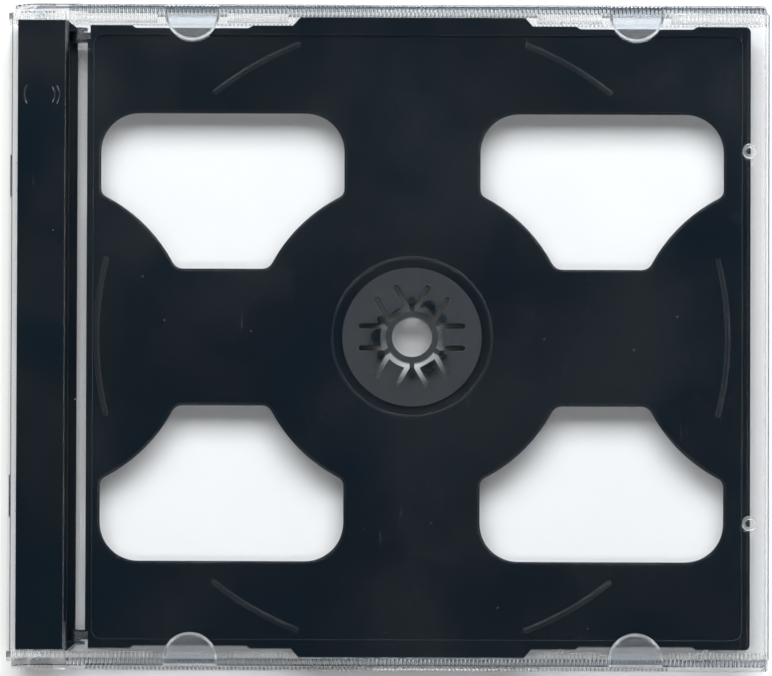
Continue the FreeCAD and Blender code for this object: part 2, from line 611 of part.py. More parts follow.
def build_tray():
    """Black swing tray, drawn about its hub: a rimmed plate with four windows, a two-sided disc hub,
    raised arcs under each disc's rim and a hinge knuckle with a pin at each end."""
    body = new_body("swing_tray")
    bind(body, "Placement.Base.x", HUB_X)
    bind(body, "Placement.Base.z", TRAY_Z)
    barrel_x = f"({TRAY_HINGE_X} - {HUB_X})"
    end_x = f"({RIGHT} - end_wall - tray_end_gap - {HUB_X})"
    slit_x = f"({STRIP_FOOT} + slit_width - {HUB_X})"
    lug_x = f"({barrel_x} + lug_radius + lug_clearance)"
    knuckle_out = f"({CHEEK_IN} - barrel_end_gap)"
    knuckle_in = f"({knuckle_out} - knuckle_length)"
    notch_side = f"({TRAY_SIDE} - notch_depth)"
    full = "(tray_plate + 2 * tray_rim)"

    plate = new_sketch(body, "tray_plate", "XY_Plane")
    half_plate = [(slit_x, knuckle_in), (barrel_x, knuckle_in), (barrel_x, knuckle_out), (lug_x, knuckle_out),
                  (lug_x, TRAY_SIDE), (end_x, TRAY_SIDE)]
    add_outline(plate, half_plate + [(x, f"(-{y})") for x, y in half_plate[::-1]])
    add_pad(body, plate, full, both_ways=True)
    soften(body, "tray_corners", lambda edge, at: is_upright(edge) and near(at.x, end_x), "tray_corner")

    # A finger lift stands out at the middle of each long edge, and notches clear the lid's tabs.
    lift = new_sketch(body, "tray_lift", "XY_Plane")
    lift_end, lift_foot = "lift_length / 2", "(lift_length / 2 + lift_slant)"
    inside = f"{TRAY_SIDE} - tray_rim_width"
    add_outline(lift, [(lift_foot, inside), (lift_foot, TRAY_SIDE), (lift_end, f"{TRAY_SIDE} + lift_reach"),
                       (f"-{lift_end}", f"{TRAY_SIDE} + lift_reach"), (f"-{lift_foot}", TRAY_SIDE),
                       (f"-{lift_foot}", inside)])
    lift_pad = add_pad(body, lift, full, both_ways=True)
    notches = new_sketch(body, "tray_notches", "XY_Plane")
    for tab in (TAB_LEFT, TAB_RIGHT):
        middle = f"({tab} - {HUB_X})"
        end, mouth = "notch_length / 2", "(notch_length / 2 + notch_slant)"
        outside = f"{TRAY_SIDE} + notch_depth"
        add_outline(notches, [(f"{middle} + {end}", notch_side), (f"{middle} + {mouth}", TRAY_SIDE),
                              (f"{middle} + {mouth}", outside), (f"{middle} - {mouth}", outside),
                              (f"{middle} - {mouth}", TRAY_SIDE), (f"{middle} - {end}", notch_side)])
    notch_cut = cut_pocket(body, notches, f"2 * {full}")
    mirror(body, "tray_other_edge", [lift_pad, notch_cut], "XZ_Plane")

    # The field inside the rim is sunk on both faces.
    recess = new_sketch(body, "tray_recess", "XY_Plane", "tray_plate / 2")
    recess_side = f"({notch_side} - tray_rim_width)"
    add_rectangle(recess, f"{slit_x} + tray_rim_width", f"{end_x} - tray_end_rim", f"-{recess_side}",
                  recess_side)
    recess_cut = cut_pocket(body, recess, "2 * tray_rim", both_ways=False, backwards=True)
    mirror(body, "tray_recess_below", [recess_cut], "XY_Plane")
    soften(body, "tray_recess_corners", lambda edge, at: is_upright(edge) and near(abs(at.y), recess_side),
           "recess_corner")

    # A window is bounded by the round lobe about the hub and the same lobe mirrored at its far side.
    far_centre = f"(window_inner + {WINDOW_OUTER})"
    knee_y = "sqrt(lobe_radius * lobe_radius - window_inner * window_inner)"
    toe_x = "sqrt(lobe_radius * lobe_radius - window_near * window_near)"
    window = new_sketch(body, "tray_window", "XY_Plane")
    add_outline(window, [("window_inner", WINDOW_FAR), ("window_inner", knee_y, "0", "0", "right"),
                         (toe_x, "window_near"),
                         (f"{far_centre} - {toe_x}", "window_near", far_centre, "0", "right"),
                         (WINDOW_OUTER, knee_y), (WINDOW_OUTER, WINDOW_FAR)])
    window_cut = cut_pocket(body, window, f"2 * {full}")
    mirror(body, "tray_windows", [window_cut], "XZ_Plane", "YZ_Plane")
    for name, height, size in (("tray_window_corners", WINDOW_FAR, "window_corner"),
                               ("tray_window_knees", knee_y, "window_knee"),
                               ("tray_window_toes", "window_near", "window_toe")):
        soften(body, name, lambda edge, at, level=height: is_upright(edge) and near(abs(at.y), level), size)
    soften(body, "tray_window_edges", lambda edge, at: near(at.z, "tray_plate / 2")
           and within(abs(at.x), "window_inner", WINDOW_OUTER)
           and within(abs(at.y), "window_near", WINDOW_FAR), "window_edge", "Chamfer")

    add_hub(body)
    add_arcs(body)

    # A knuckle at each end carries a pin on the hinge line.
    pin_tip = f"({CHEEK_IN} + tray_pin_reach)"
    knuckle = new_sketch(body, "tray_knuckle", "XZ_Plane", f"-{knuckle_out}")
    add_circle(knuckle, barrel_x, "0", "barrel_radius")
    knuckle_pad = add_pad(body, knuckle, "knuckle_length")
    pin = new_sketch(body, "tray_pin", "XZ_Plane", f"-{pin_tip}")
    add_circle(pin, barrel_x, "0", "tray_pin_radius")
    pin_pad = add_pad(body, pin, f"{pin_tip} - {knuckle_in}")
    mirror(body, "tray_other_knuckle", [knuckle_pad, pin_pad], "XZ_Plane")
    return body


def add_hub(body):
    """The hub: a low platform on each face inside a fine ring, six spring fingers freed by U-shaped slots,
    six fixed studs between them, and grip beads on three fingers above and the other three below."""
    face = "(tray_plate / 2 + hub_rise)"
    platform = new_sketch(body, "hub_platform", "XY_Plane")
    add_circle(platform, "0", "0", "platform_radius")
    add_pad(body, platform, f"2 * {face}", both_ways=True)
    ring = new_sketch(body, "hub_ring", "XZ_Plane")
    add_ridge(ring, "hub_ring_radius", "hub_ring_width", "hub_ring_width / 2", "hub_ring_rise")
    turn_about_hub(body, ring, "360")
    bore = new_sketch(body, "hub_bore", "XY_Plane")
    add_circle(bore, "0", "0", "hub_bore")
    cut_pocket(body, bore, f"4 * {face}")

    # The slots of two fingers leave a straight web between them that carries the collar.
    inner, outer = "(finger_width / 2)", "(finger_width / 2 + finger_slot)"
    slot_end = "(finger_end - slot_bevel)"
    between = f"({180 / FINGERS} deg)"
    along = "sqrt(collar_radius * collar_radius - web_width * web_width / 4)"
    collar_x = f"({along} * cos({between}) + web_width / 2 * sin({between}))"
    collar_y = f"({along} * sin({between}) - web_width / 2 * cos({between}))"
    web_x = f"(({outer} * cos({between}) + web_width / 2) / sin({between}))"
    finger_x = f"sqrt(finger_start * finger_start - {inner} * {inner})"
    outer_bevel, inner_bevel = f"({outer} - slot_bevel)", f"({inner} + slot_bevel)"
    slot = new_sketch(body, "hub_slot", "XY_Plane")
    add_outline(slot, [(collar_x, f"-{collar_y}"), (web_x, f"-{outer}"), (slot_end, f"-{outer}"),
                       ("finger_end", f"-{outer_bevel}"), ("finger_end", f"-{inner_bevel}"),
                       (slot_end, f"-{inner}"), (finger_x, f"-{inner}", "0", "0", "left"), (finger_x, inner),
                       (slot_end, inner), ("finger_end", inner_bevel), ("finger_end", outer_bevel),
                       (slot_end, outer), (web_x, outer), (collar_x, collar_y, "0", "0", "right")])
    slot_cut = cut_pocket(body, slot, f"4 * {face}")
    polar(body, "hub_slots", [slot_cut], FINGERS)

    tip = f"({face} + stud_rise)"
    stud = new_sketch(body, "hub_stud", "XY_Plane")
    turns = [f"({360 / STUD_SIDES * step} deg)" for step in range(STUD_SIDES)]
    add_outline(stud, [(f"(stud_circle * cos({between}) + stud_radius * cos({turn}))",
                        f"(stud_circle * sin({between}) + stud_radius * sin({turn}))") for turn in turns])
    stud_pad = add_pad(body, stud, f"2 * {tip}", both_ways=True)
    polar(body, "hub_studs", [stud_pad], FINGERS)
    soften(body, "hub_stud_tips", lambda edge, at: near(abs(at.z), tip), "stud_bevel", "Chamfer")

    # A bead stands at the free end of its finger and bulges outward over a disc's edge. Its outer corners
    # are cut off, so that it follows the round of the disc's hole.
    half_bulge = "((bead_rise - bead_foot) / 2)"
    swell = f"(({half_bulge} * {half_bulge} + bead_bulge * bead_bulge) / (2 * bead_bulge))"
    for name, side, level in (("hub_bead_above", "-", "+"), ("hub_bead_below", "+", "-")):
        bead = new_sketch(body, name, "XZ_Plane")
        neck, back = f"({side}bead_neck)", f"({side}finger_start)"
        root, low, high = [f"({level}({height}))" for height in
                           ("tray_plate / 2", f"{face} + bead_foot", f"{face} + bead_rise")]
        centre = f"({side}(bead_neck + bead_bulge - {swell}))"
        centre_z = f"({level}({face} + bead_foot + {half_bulge}))"
        add_outline(bead, [(back, root), (neck, root), (neck, low, centre, centre_z, "right"), (neck, high),
                           (back, high)])
        bead_pad = add_pad(body, bead, "bead_width", both_ways=True)
        trim = new_sketch(body, name + "_trim", "XY_Plane", f"({level}{face})")
        crest, clear, waist = [f"({side}(bead_neck + bead_bulge {change}))" for change in
                               ("", "+ bead_trim / 2", "- bead_trim")]
        flank, beyond = "(bead_width / 2)", "(bead_width / 2 + bead_trim / 2)"
        for hand in ("-", "+"):
            add_outline(trim, [(crest, f"{hand}bead_face / 2"), (clear, f"{hand}bead_face / 2"),
                               (clear, f"{hand}{beyond}"), (waist, f"{hand}{beyond}"),
                               (waist, f"{hand}{flank}")])
        trim_cut = cut_pocket(body, trim, "2 * bead_rise", both_ways=False, backwards=level == "+")
        polar(body, name + "s", [bead_pad, trim_cut], FINGERS // 2)


def add_ridge(sketch, radius, width, slope, rise):
    """The section of a ridge on both faces of the tray, whose sides slope; a slope of half the width
    leaves no flat top."""
    face, inner, outer = "tray_plate / 2", f"({radius} - {width} / 2)", f"({radius} + {width} / 2)"
    crest = [f"{inner} + {slope}", f"{outer} - {slope}"]
    crest = crest[:1] if near(number(crest[0]), crest[1]) else crest
    upper = [(inner, face)] + [(x, f"{face} + {rise}") for x in crest] + [(outer, face)]
    add_outline(sketch, upper + [(x, f"-({z})") for x, z in upper[::-1]])


def turn_about_hub(body, section, sweep):
    turn = body.newObject("PartDesign::Revolution", section.Name + "_turn")
    turn.Profile = section
    turn.ReferenceAxis = (section, ["V_Axis"])
    bind(turn, "Angle", f"{sweep} * 1 deg")
    turn.Midplane = True
    return finish_feature(body, turn)


def add_arcs(body):
    """Raised arcs under a disc's rim: one at each side of the hub and four beyond the windows."""
    for name, sweep, place in (("arc_side", "arc_side_sweep_deg", "0"),
                               ("arc_far", "arc_far_sweep_deg", "arc_far_place_deg")):
        section = new_sketch(body, name, "XZ_Plane")
        about_hub = FreeCAD.Rotation(FreeCAD.Vector(0, 1, 0), 0)
        section.AttachmentOffset = FreeCAD.Placement(FreeCAD.Vector(), about_hub)
        bind(section, "AttachmentOffset.Rotation.Angle", f"{place} * 1 deg")
        add_ridge(section, "(disc_radius - arc_inset)", "arc_width", "arc_slope", "arc_rise")
        turn = turn_about_hub(body, section, sweep)
        mirror(body, name + "s", [turn], "XZ_Plane", "YZ_Plane")


bodies = [build_base(), build_lid(), build_strip(), build_tray()]
doc.recompute()

for item in doc.Objects:
    if "Invalid" in item.State or "Error" in item.State:
        raise RuntimeError(f"{item.Name} failed: {item.State}")
for body in bodies:
    if body.Shape.isNull() or not body.Shape.isValid() or len(body.Shape.Solids) != 1:
        raise RuntimeError(f"{body.Label} is not one valid solid")

os.makedirs("parts", exist_ok=True)
for body in bodies:
    body.Shape.exportStep(f"parts/{body.Label}.step")
    box = body.Shape.BoundBox
    print(f"{body.Label}: {body.Shape.Volume:.1f} mm3, x {box.XMin:.2f} to {box.XMax:.2f}, "
          f"y {box.YMin:.2f} to {box.YMax:.2f}, z {box.ZMin:.2f} to {box.ZMax:.2f}")
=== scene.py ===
# %% [markdown]
# # A clear disc case, dressed over its CAD frame
# The case is four moulded pieces: a clear lid, a clear base, a black strip beside the spine and a black
# tray that swings. Their shapes are finished solids already, so this lesson builds no mesh for them. It
# gives each one a plastic that behaves as the real one does, then the table, the light and the camera.

# %% Load the frame
import json
import math

import bpy
import numpy as np
from mathutils import Matrix, Vector


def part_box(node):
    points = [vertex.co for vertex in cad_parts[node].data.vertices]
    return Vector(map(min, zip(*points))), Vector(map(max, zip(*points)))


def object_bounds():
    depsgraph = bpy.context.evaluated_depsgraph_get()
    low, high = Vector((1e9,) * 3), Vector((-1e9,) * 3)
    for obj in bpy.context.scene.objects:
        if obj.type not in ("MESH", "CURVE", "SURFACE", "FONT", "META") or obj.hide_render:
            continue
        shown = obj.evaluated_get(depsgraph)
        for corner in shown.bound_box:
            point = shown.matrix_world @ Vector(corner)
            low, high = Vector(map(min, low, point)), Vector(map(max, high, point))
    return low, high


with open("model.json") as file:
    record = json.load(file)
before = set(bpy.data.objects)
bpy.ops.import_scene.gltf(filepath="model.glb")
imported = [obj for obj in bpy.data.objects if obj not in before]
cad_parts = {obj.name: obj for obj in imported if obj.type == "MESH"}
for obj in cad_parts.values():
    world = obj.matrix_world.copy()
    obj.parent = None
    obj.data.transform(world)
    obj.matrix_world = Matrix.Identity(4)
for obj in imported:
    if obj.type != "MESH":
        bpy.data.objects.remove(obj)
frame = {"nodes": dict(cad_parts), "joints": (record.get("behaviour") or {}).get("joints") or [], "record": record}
cad_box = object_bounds()
MM = 0.001

# %% [markdown]
# Every finish needs places on the object: the middle of the hub, the level of the tray, the spots where
# the tabs are. They could be typed in again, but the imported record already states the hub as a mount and
# the tray's hinge as a joint, and a box can be asked of any node. Reading them keeps the looks in step
# with the solids.

# %% Places on the object
mounts = {mount["name"]: mount for mount in frame["record"]["mounts"]}
joints = {joint["name"]: joint for joint in frame["joints"]}
hub_place = Vector(mounts["disc_hub_above"]["pos_m"])
tray_level = joints["tray_hinge"]["pos_m"][2]
platform_rise = hub_place.z - tray_level
strip_low, strip_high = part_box("hinge_strip")
tray_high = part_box("swing_tray")[1]
lid_low, lid_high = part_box("front_lid")
base_low, base_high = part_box("rear_base")
print("hub at", tuple(round(value / MM, 2) for value in hub_place), "mm, tray level", tray_level / MM, "mm")

# %% [markdown]
# A material is a small graph, and writing one by hand takes three lines a node. Helpers make it one. The
# first adds a node and fills its sockets with values or with other nodes' outputs. The others are short
# forms of it for arithmetic, lengths, soft steps, colours, noise and new materials. With them a material
# reads as the sentence it is.

# %% Helpers for shader graphs
def add_node(tree, kind, inputs=None, **settings):
    """Add a node: settings are its own properties, inputs are values to set or sockets to link from."""
    node = tree.nodes.new(kind)
    for name, value in settings.items():
        setattr(node, name, value)
    for name, value in (inputs or {}).items():
        if isinstance(value, bpy.types.NodeSocket):
            tree.links.new(value, node.inputs[name])
        else:
            node.inputs[name].default_value = value
    return node


def calc(tree, operation, first, second=0.0):
    """One arithmetic step on two numbers, each a value or a socket."""
    return add_node(tree, "ShaderNodeMath", {0: first, 1: second}, operation=operation).outputs[0]


def diagonal(tree, first, second):
    """How long the diagonal over two distances at right angles is."""
    squares = [calc(tree, "MULTIPLY", side, side) for side in (first, second)]
    return calc(tree, "SQRT", calc(tree, "ADD", *squares))


def agreement(tree, first, second):
    """The cosine of the angle between two directions."""
    node = add_node(tree, "ShaderNodeVectorMath", {0: first, 1: second}, operation="DOT_PRODUCT")
    return node.outputs["Value"]


def ramp(tree, value, low, high, to_low=0.0, to_high=1.0):
    """A smooth step: to_low where value is under low, to_high where it is over high."""
    inputs = {"Value": value, "From Min": low, "From Max": high, "To Min": to_low, "To Max": to_high}
    return add_node(tree, "ShaderNodeMapRange", inputs, interpolation_type="SMOOTHSTEP").outputs[0]


def blend(tree, share, first, second):
    """A colour that goes from first to second as share goes from 0 to 1."""
    node = add_node(tree, "ShaderNodeMix", {0: share, 6: first, 7: second}, data_type="RGBA")
    return node.outputs[2]


def noise(tree, place, scale, detail=2.0):
    """Soft random values between 0 and 1, with a scale in swings to the metre."""
    inputs = {"Vector": place, "Scale": scale, "Detail": detail}
    return add_node(tree, "ShaderNodeTexNoise", inputs).outputs[0]


def new_material(name):
    """An empty material with its output, and the object coordinates that its patterns are laid out in."""
    material = bpy.data.materials.new(name)
    material.use_nodes = True
    tree = material.node_tree
    tree.nodes.clear()
    output = add_node(tree, "ShaderNodeOutputMaterial")
    place = add_node(tree, "ShaderNodeTexCoord").outputs["Object"]
    return material, tree, output, place


print("helpers ready")

# %% [markdown]
# A case that has been in and out of a shelf carries dust, hairline scratches and the smear of fingers.
# Each plastic shows them differently, pale on black and rough on clear, but the marks are the same, so
# they are one node group with three outputs. Dust is a Voronoi cell pattern cut down to the middle of some
# cells. A scratch is a thin contour of a noise that is stretched about twenty times along one direction.

# %% Node group for dust, scratches and smears
DUST_SCALE = 240.0
DUST_FREE_SHARE = 0.6
DUST_RADIUS = 0.03
SCRATCH_SCALES = (420.0, 22.0, 22.0)
# Each set of scratches: its turn in radians, and a shift to a part of the noise that is its own
SCRATCH_SETS = ((0.5, 0.0), (-0.9, 3.1), (1.7, 7.7))
SCRATCH_LEVEL, SCRATCH_WIDTH = 0.66, 0.008
PATCH_SCALE = 90.0
SMEAR_SCALE = 34.0


def handling_marks():
    """Dust: near a cell's middle. Scratches: where stretched noise crosses a level. Smear: soft noise."""
    group = bpy.data.node_groups.new("handling_marks", "ShaderNodeTree")
    face = group.interface
    face.new_socket("Place", in_out="INPUT", socket_type="NodeSocketVector")
    for name in ("Dust", "Scratches", "Smear"):
        face.new_socket(name, in_out="OUTPUT", socket_type="NodeSocketFloat")
    start = group.nodes.new("NodeGroupInput")
    end = group.nodes.new("NodeGroupOutput")
    place = start.outputs["Place"]

    cells = add_node(group, "ShaderNodeTexVoronoi", {"Vector": place, "Scale": DUST_SCALE})
    luck = add_node(group, "ShaderNodeSeparateColor", {"Color": cells.outputs["Color"]}).outputs[0]
    size = ramp(group, luck, DUST_FREE_SHARE, 1.0, 0.0, DUST_RADIUS)
    speck = calc(group, "LESS_THAN", cells.outputs["Distance"], size)
    group.links.new(speck, end.inputs["Dust"])

    lines = []
    for turn, shift in SCRATCH_SETS:
        inputs = {"Vector": place, "Rotation": (0.0, 0.0, turn), "Scale": SCRATCH_SCALES}
        stretched = add_node(group, "ShaderNodeMapping", inputs, vector_type="POINT").outputs[0]
        moved = add_node(group, "ShaderNodeVectorMath", {0: stretched, 1: (shift, shift, shift)}).outputs[0]
        wave = noise(group, moved, 1.0, 1.0)
        off_level = calc(group, "ABSOLUTE", calc(group, "SUBTRACT", wave, SCRATCH_LEVEL))
        lines.append(ramp(group, off_level, 0.0, SCRATCH_WIDTH, 1.0, 0.0))
    scratch = calc(group, "MAXIMUM", calc(group, "MAXIMUM", lines[0], lines[1]), lines[2])
    scratch = calc(group, "MULTIPLY", scratch, ramp(group, noise(group, place, PATCH_SCALE), 0.60, 0.70))
    group.links.new(scratch, end.inputs["Scratches"])

    smear = noise(group, place, SMEAR_SCALE, 4.0)
    group.links.new(ramp(group, smear, 0.35, 0.7), end.inputs["Smear"])
    return group


marks_group = handling_marks()
print("group", marks_group.name, "with", len(marks_group.nodes), "nodes")

# %% [markdown]
# No moulded edge is sharp. Rounding the solids would cost thousands of faces, so a bevel of the shading
# alone rounds each edge by a twelfth of a millimetre. Where its normal leaves the flat face's own, there is
# an edge, and that makes the second output: a mask along each edge for a painted highlight. It is for both
# black pieces. The clear ones go without, because a ray crosses many clear faces and would pay for it at
# each.

# %% Node group for soft edges and a painted edge highlight
EDGE_RADIUS = 0.08 * MM
EDGE_SAMPLES = 4
# Where the painted highlight along an edge begins and where it is full, by how far the normals agree
HIGHLIGHT_FROM, HIGHLIGHT_FULL = 0.99, 0.90


def soft_edges():
    """Normal: the face's, rounded near edges. Second output: a mask for painted highlight, 0 to 1 as they part 8
    to 26 degrees.
    """
    group = bpy.data.node_groups.new("soft_edges", "ShaderNodeTree")
    group.interface.new_socket("Normal", in_out="OUTPUT", socket_type="NodeSocketVector")
    group.interface.new_socket("Edge Highlight", in_out="OUTPUT", socket_type="NodeSocketFloat")
    end = group.nodes.new("NodeGroupOutput")
    rounded = add_node(group, "ShaderNodeBevel", {"Radius": EDGE_RADIUS}, samples=EDGE_SAMPLES).outputs[0]
    flat = add_node(group, "ShaderNodeNewGeometry").outputs["True Normal"]
    edge_highlight = ramp(group, agreement(group, rounded, flat), HIGHLIGHT_FULL, HIGHLIGHT_FROM, 1.0, 0.0)
    group.links.new(rounded, end.inputs["Normal"])
    group.links.new(edge_highlight, end.inputs["Edge Highlight"])
    return group


edge_group = soft_edges()
print("group", edge_group.name, "with", len(edge_group.nodes), "nodes")

# %% [markdown]
# The strip and the tray are black polystyrene, polished, with a blue-green cast. Black plastic is easy to
# overdo: its own colour is less than one part in a hundred of white, and what the eye takes for grey is
# what it mirrors. So the base colour stays near black, two close shades of it drift over the surface, and
# dust and scratches are its pale marks. A fine pale line along each edge, patchy along its length, is a
# painted highlight: it draws the edges as rounded gloss would catch the light.

# %% Black plastic
BLACK_COOL = (0.0036, 0.0082, 0.0128, 1.0)
BLACK_WARM = (0.0056, 0.0090, 0.0122, 1.0)
DUST_GREY = (0.115, 0.120, 0.120, 1.0)
# Grey of the painted highlight along each edge of the black pieces
EDGE_HIGHLIGHT_GREY = (0.115, 0.125, 0.135, 1.0)
DUST_SHOWS, SCRATCHES_SHOW = 0.8, 0.05
DRIFT_SCALE, GRAIN_SCALE = 70.0, 900.0
PLASTIC_IOR = 1.5
# Roughness of the clean gloss, and what each kind of mark adds to it at most
BLACK_ROUGH = 0.10
BLACK_ROUGHENED = {"Smear": 0.07, "Scratches": 0.1}


def roughened(tree, marks, clean, shares):
    """The roughness of a clean surface, with a share of each mark added."""
    rough = clean
    for mark, share in shares.items():
        rough = calc(tree, "ADD", calc(tree, "MULTIPLY", marks[mark], share), rough)
    return rough


def black_plastic(name):
    """Near-black gloss with drifting shade, marks and a painted edge highlight. Gives the parts that a finish adds
    to.
    """
    material, tree, output, place = new_material(name)
    marks = add_node(tree, "ShaderNodeGroup", {"Place": place}, node_tree=marks_group).outputs
    drift = noise(tree, place, DRIFT_SCALE, 3.0)
    shade = blend(tree, ramp(tree, drift, 0.3, 0.7), BLACK_COOL, BLACK_WARM)
    pale = calc(tree, "MAXIMUM", calc(tree, "MULTIPLY", marks["Dust"], DUST_SHOWS),
                calc(tree, "MULTIPLY", marks["Scratches"], SCRATCHES_SHOW))
    edges = add_node(tree, "ShaderNodeGroup", node_tree=edge_group).outputs
    # A painted highlight along each edge, made patchy by the drift
    edge_highlight = calc(tree, "MULTIPLY", edges["Edge Highlight"], ramp(tree, drift, 0.30, 0.60, 0.45, 1.0))
    colour = blend(tree, edge_highlight, blend(tree, pale, shade, DUST_GREY), EDGE_HIGHLIGHT_GREY)
    rough = roughened(tree, marks, BLACK_ROUGH, BLACK_ROUGHENED)
    surface = add_node(tree, "ShaderNodeBsdfPrincipled", {"IOR": PLASTIC_IOR})
    tree.links.new(surface.outputs[0], output.inputs["Surface"])
    parts = {"colour": colour, "rough": rough, "place": place, "surface": surface,
             "grain": noise(tree, place, GRAIN_SCALE), "edges": edges["Normal"]}
    return material, tree, parts


def finish_plastic(tree, parts, height, depth):
    """Connect a plastic's colour and roughness, its soft edges if any, and a relief so many metres deep."""
    inputs = {"Height": height, "Strength": 1.0, "Distance": depth}
    if "edges" in parts:
        inputs["Normal"] = parts["edges"]
    bump = add_node(tree, "ShaderNodeBump", inputs)
    links = {"Base Color": parts["colour"], "Roughness": parts["rough"], "Normal": bump.outputs[0]}
    for socket, source in links.items():
        tree.links.new(source, parts["surface"].inputs[socket])


print("black plastic defined")

# %% [markdown]
# The strip's top shows two faint rings where a pin and its sleeve met the mould. The sleeve sat a little
# off the pin, so the rings touch on one side. They could be cut into the solid, but they are a few
# hundredths of a millimetre deep, so a bump is the honest way: the distance from a ring's middle, less its
# radius, gives a narrow groove. It fades out towards the strip's ends, where the mould was polished.

# %% Finish of the strip
RING_WIDTH = 0.36 * MM
RING_FROM_END = 13.85 * MM
# Each ring: distance of its middle from the strip's outer side, and its radius
PIN_RINGS = ((4.05 * MM, 2.80 * MM), (4.50 * MM, 3.25 * MM))
BLACK_RELIEF = 0.03 * MM
# How deep the grain and the rings are, in shares of the relief
GRAIN_SHARE, RING_SHARE = 0.06, 1.2


def ring_mask(tree, place, centre, radius, width):
    """1 on a circle about an upright axis, falling to 0 half a width away and towards its +Y and -Y."""
    middle = (-centre[0], -centre[1], 0.0)
    moved = add_node(tree, "ShaderNodeMapping", {"Vector": place, "Location": middle}).outputs[0]
    axes = add_node(tree, "ShaderNodeSeparateXYZ", {0: moved}).outputs
    off = calc(tree, "ABSOLUTE", calc(tree, "SUBTRACT", diagonal(tree, axes[0], axes[1]), radius))
    sideways = calc(tree, "ABSOLUTE", axes[0])
    kept = ramp(tree, sideways, radius * 0.80, radius * 0.92)
    return calc(tree, "MULTIPLY", ramp(tree, off, 0.0, width / 2, 1.0, 0.0), kept)


strip_black, tree, parts = black_plastic("strip_black")
relief = calc(tree, "MULTIPLY", parts["grain"], GRAIN_SHARE)
for from_side, radius in PIN_RINGS:
    ring_place = (strip_low.x + from_side, strip_high.y - RING_FROM_END)
    ring = ring_mask(tree, parts["place"], ring_place, radius, RING_WIDTH)
    relief = calc(tree, "SUBTRACT", relief, calc(tree, "MULTIPLY", ring, RING_SHARE))
    print("pin ring at", tuple(round(value / MM, 2) for value in ring_place), "mm")
finish_plastic(tree, parts, relief, BLACK_RELIEF)

# %% [markdown]
# On the tray the hub's platform is the one dull place: its mould face was spark-eroded, so that a disc
# doesn't stick to it. It is picked out by height, because only the platform's two faces lie exactly that
# far from the tray's middle plane, and by radius, so that nothing else is caught. There the black is a
# shade paler, the gloss is gone and a fine grain takes its place. Along the tray's free edge run two
# hairline steps of its lip, too fine for the solid, so they are grooves in the bump.

# %% Finish of the tray
FROST_GREY = (0.010, 0.014, 0.018, 1.0)
FROST_PALE = (0.020, 0.024, 0.028, 1.0)
FROST_SPECKLE, FROST_ROUGH = 0.35, 0.9
EROSION_SCALE = 3200.0
PLATFORM_RADIUS = 13.0 * MM
LEVEL_SLACK = 0.04 * MM
LIP_STEPS = (0.5 * MM, 1.7 * MM)
LIP_STEP_HALF = 0.12 * MM
LIP_STEP_SHARE = 1.7

tray_black, tree, parts = black_plastic("tray_black")
centred = {"Vector": parts["place"], "Location": (-hub_place.x, -hub_place.y, -tray_level)}
about_hub = add_node(tree, "ShaderNodeMapping", centred).outputs[0]
axes = add_node(tree, "ShaderNodeSeparateXYZ", {0: about_hub}).outputs
on_platform = calc(tree, "LESS_THAN", diagonal(tree, axes[0], axes[1]), PLATFORM_RADIUS)
off_level = calc(tree, "ABSOLUTE", calc(tree, "SUBTRACT", calc(tree, "ABSOLUTE", axes[2]), platform_rise))
on_face = calc(tree, "LESS_THAN", off_level, LEVEL_SLACK)
frosted = calc(tree, "MULTIPLY", on_platform, on_face)
erosion = noise(tree, about_hub, EROSION_SCALE)
frost = blend(tree, calc(tree, "MULTIPLY", erosion, FROST_SPECKLE), FROST_GREY, FROST_PALE)
parts["colour"] = blend(tree, frosted, parts["colour"], frost)
parts["rough"] = calc(tree, "MAXIMUM", parts["rough"], calc(tree, "MULTIPLY", frosted, FROST_ROUGH))
relief = calc(tree, "ADD", calc(tree, "MULTIPLY", parts["grain"], GRAIN_SHARE),
              calc(tree, "MULTIPLY", frosted, erosion))
for step in LIP_STEPS:
    off_step = calc(tree, "ABSOLUTE", calc(tree, "SUBTRACT", axes[0], tray_high.x - hub_place.x - step))
    relief = calc(tree, "SUBTRACT", relief, ramp(tree, off_step, 0.0, LIP_STEP_HALF, LIP_STEP_SHARE, 0.0))
finish_plastic(tree, parts, relief, BLACK_RELIEF)
print("frosted platform of radius", PLATFORM_RADIUS / MM, "mm")

# %% [markdown]
# Lid and base are clear polystyrene. Seen through a whole pane it is all but invisible, and what shows is
# its edges, where light is bent away. A refracting surface gives those edges. Such a surface blocks the
# straight rays that light needs to reach what is inside, so shadow and diffuse rays meet a transparent
# surface instead, which is close to what a thin clear wall does to light. Along a side wall the eye looks
# through a centimetre of plastic instead of one millimetre. A mask from the depth inside the outline greys
# the walls there: partly the plastic's own grey over that long way, partly painted shade for the dark that
# refraction shows in them. The outermost edge gets a near-black painted shade, for the dark line that
# refraction draws along it. Both hold only on faces that look up or down, because through a wall's side
# the way is short.

# %% Clear plastic
CLEAR_TINT = (0.985, 0.990, 0.992, 1.0)
CLEAR_SMEARED = (0.955, 0.962, 0.966, 1.0)
CLEAR_SHADOW = (0.97, 0.975, 0.98, 1.0)
# Grey of the long walls: partly the plastic's own over a long way, partly painted shade. The outer edge's grey is
# painted shade
WALL_TINT_AND_SHADE = (0.72, 0.75, 0.78, 1.0)
EDGE_PAINTED_SHADE = (0.10, 0.11, 0.12, 1.0)
WALL_DEPTH = 1.5 * MM
EDGE_DEPTH = 0.28 * MM
# The shares of its depth at which a grey begins to fade
WALL_FADE, EDGE_FADE = 0.9, 0.8
# A face begins to count as lying, and fully does, when so much of its normal is upright
LYING_FROM, LYING_FULL = 0.5, 0.9
CLEAR_ROUGH = 0.004
CLEAR_ROUGHENED = {"Smear": 0.015, "Scratches": 0.12, "Dust": 0.35}
SMEAR_SHOWS = 0.5
FLOW_SCALE = 28.0


